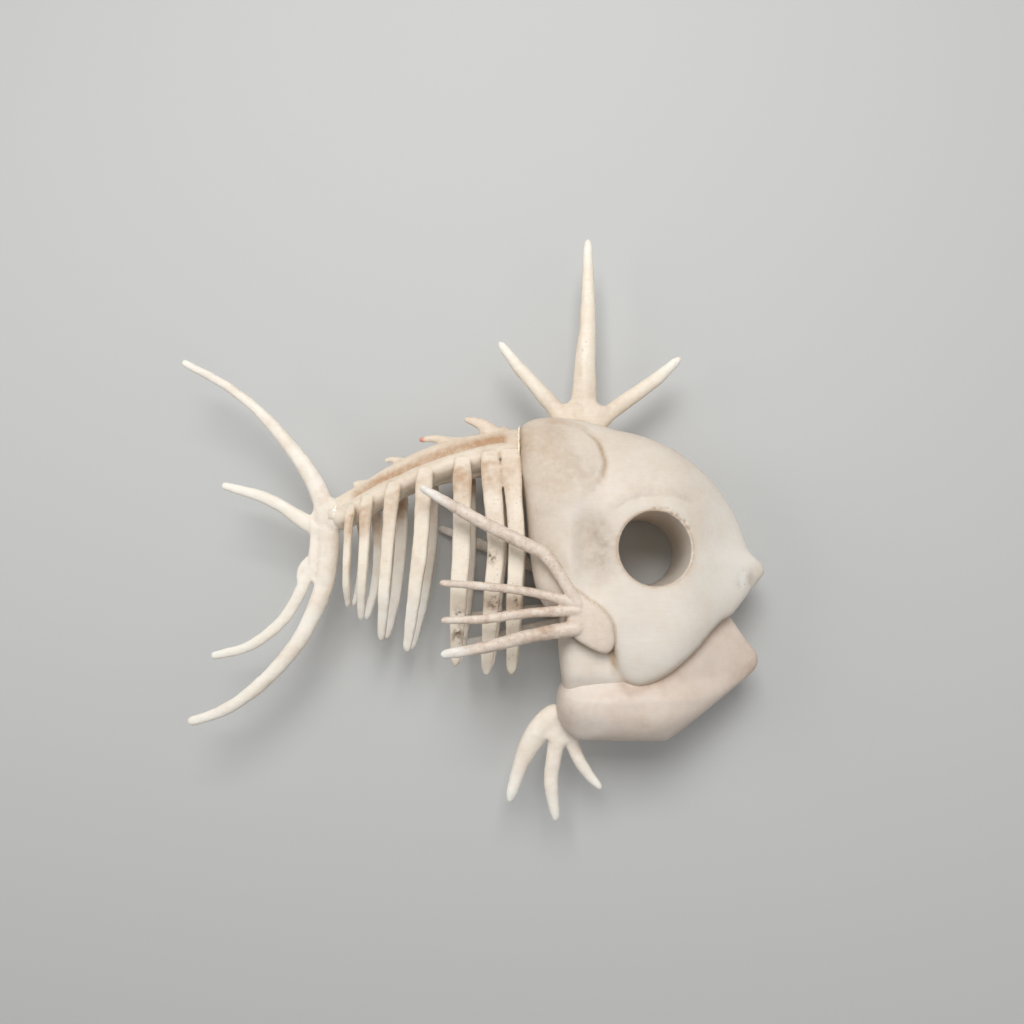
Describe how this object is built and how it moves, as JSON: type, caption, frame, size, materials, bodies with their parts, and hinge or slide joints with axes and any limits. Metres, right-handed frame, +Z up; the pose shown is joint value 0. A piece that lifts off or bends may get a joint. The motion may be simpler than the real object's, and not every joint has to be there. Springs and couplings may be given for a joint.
{
  "type": "toy fish skeleton",
  "caption": "Moulded plastic toy of a fish skeleton, lying on its side: deep skull with a round eye hole, jutting jaw, strap ribs and fins of bare tapering rays.",
  "frame": {"origin": "centre of the bounding box's footprint, on the surface that the fish lies on", "axes": "+X to the snout, +Y to the fish's back, +Z up, which is the fish's right side"},
  "size_m": [0.1928, 0.1916, 0.0447],
  "materials": {
    "ivory_plastic": "satin-matte ivory, tan stain rubbed into the hollows",
    "pale_plastic": "satin-matte, paler than the head",
    "rubbed_plastic": "satin-matte, mottled pinkish tan"
  },
  "bodies": {
    "root": {"skull": "ivory_plastic", "lower_jaw": "ivory_plastic", "dorsal_fin": "ivory_plastic", "pelvic_fin": "pale_plastic", "backbone": "ivory_plastic", "ribs_right": "ivory_plastic", "ribs_left": "ivory_plastic", "tail_fin": "pale_plastic", "pectoral_fin_right": "rubbed_plastic", "pectoral_fin_left": "rubbed_plastic"}
  },
  "joints": []
}
